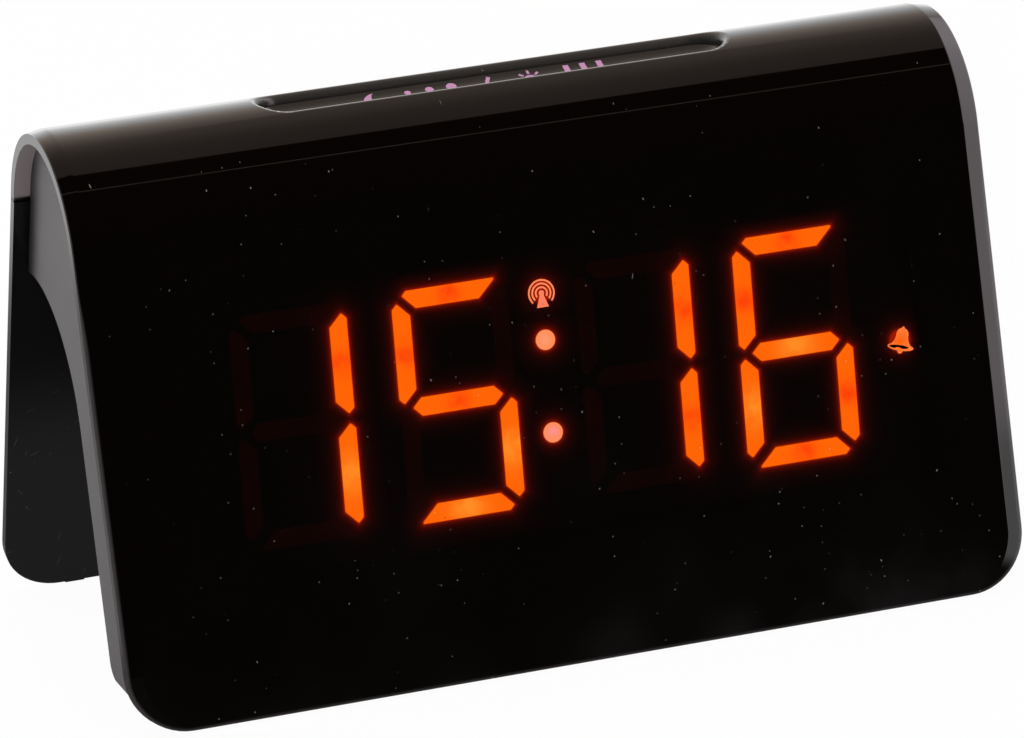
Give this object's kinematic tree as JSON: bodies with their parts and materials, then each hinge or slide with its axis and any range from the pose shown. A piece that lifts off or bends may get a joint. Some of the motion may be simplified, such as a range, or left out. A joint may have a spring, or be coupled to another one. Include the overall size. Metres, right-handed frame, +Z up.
{
  "type": "alarm clock",
  "caption": "Tent-shaped LED alarm clock: a smoked cover wraps over the top, a housing and a leaning leg behind, with a dished snooze key and rear buttons.",
  "frame": {"origin": "on the table, under the middle of the clock's box", "axes": "+X to the viewer's right, +Y to the back, +Z up; the display faces -Y"},
  "size_m": [0.14, 0.0743, 0.084],
  "materials": {
    "cover_smoke": "polished smoked black, slightly see-through",
    "housing_grey": "fine-grained matt dark grey",
    "leg_black": "satin black",
    "key_black": "polished black",
    "button_black": "matt black",
    "segment_lit": "diffuse orange, glowing",
    "segment_dark": "diffuse dark red",
    "frame_black": "matt black",
    "board_green": "green solder mask",
    "chip_black": "moulded black",
    "led_white": "clear cast",
    "steel": "plated",
    "ferrite": "sintered dark grey",
    "copper_wire": "enamelled winding",
    "foot_rubber": "soft matt black"
  },
  "bodies": {
    "case": {"front_cover": "cover_smoke", "housing": "housing_grey", "rear_leg": "leg_black", "cover_screws": "steel", "leg_screws": "steel", "rear_feet": "foot_rubber", "front_feet": "foot_rubber", "display_frame": "frame_black", "segments_lit": "segment_lit", "segments_unlit": "segment_dark", "colon_dots": "segment_lit", "bell_symbol": "segment_lit", "radio_symbol": "segment_lit", "led_chips": "led_white", "main_board": "board_green", "main_board_screws": "steel", "controller_chip": "chip_black", "quartz_can": "steel", "buzzer": "chip_black", "power_inlet": "steel", "coin_cell": "steel", "cell_holder": "frame_black", "cell_contact": "steel", "snooze_switch": "chip_black", "snooze_board": "board_green", "snooze_board_screws": "steel", "button_board": "board_green", "button_board_screws": "steel", "ferrite_rod": "ferrite", "antenna_coil": "copper_wire", "rear_switches": "chip_black"},
    "snooze_key": {"snooze_key": "key_black", "snooze_plunger": "chip_black"},
    "battery_cap": {"battery_cap": "housing_grey"},
    "mode_button": {"mode_button": "button_black", "mode_plunger": "chip_black"},
    "up_button": {"up_button": "button_black", "up_plunger": "chip_black"},
    "down_button": {"down_button": "button_black", "down_plunger": "chip_black"},
    "alarm_button": {"alarm_button": "button_black", "alarm_plunger": "chip_black"}
  },
  "joints": [
    {"name": "snooze_press", "type": "slide", "parent": "case", "child": "snooze_key", "axis": [0, 0, -1], "range_m": [0, 0.0006], "stiffness_N_per_m": 1500, "springref_m": -0.0004},
    {"name": "battery_cap_twist", "type": "hinge", "parent": "case", "child": "battery_cap", "pos_m": [-0.028, -0.01361, 0.02292], "axis": [0, 0.982, -0.1891], "range_deg": [0, 45]},
    {"name": "mode_press", "type": "slide", "parent": "case", "child": "mode_button", "axis": [0, -0.9336, -0.3584], "range_m": [0, 0.0005], "stiffness_N_per_m": 2000, "springref_m": -0.0003},
    {"name": "up_press", "type": "slide", "parent": "case", "child": "up_button", "axis": [0, -0.9336, -0.3584], "range_m": [0, 0.0005], "stiffness_N_per_m": 2000, "springref_m": -0.0003},
    {"name": "down_press", "type": "slide", "parent": "case", "child": "down_button", "axis": [0, -0.9336, -0.3584], "range_m": [0, 0.0005], "stiffness_N_per_m": 2000, "springref_m": -0.0003},
    {"name": "alarm_press", "type": "slide", "parent": "case", "child": "alarm_button", "axis": [0, -0.9336, -0.3584], "range_m": [0, 0.0005], "stiffness_N_per_m": 2000, "springref_m": -0.0003}
  ]
}
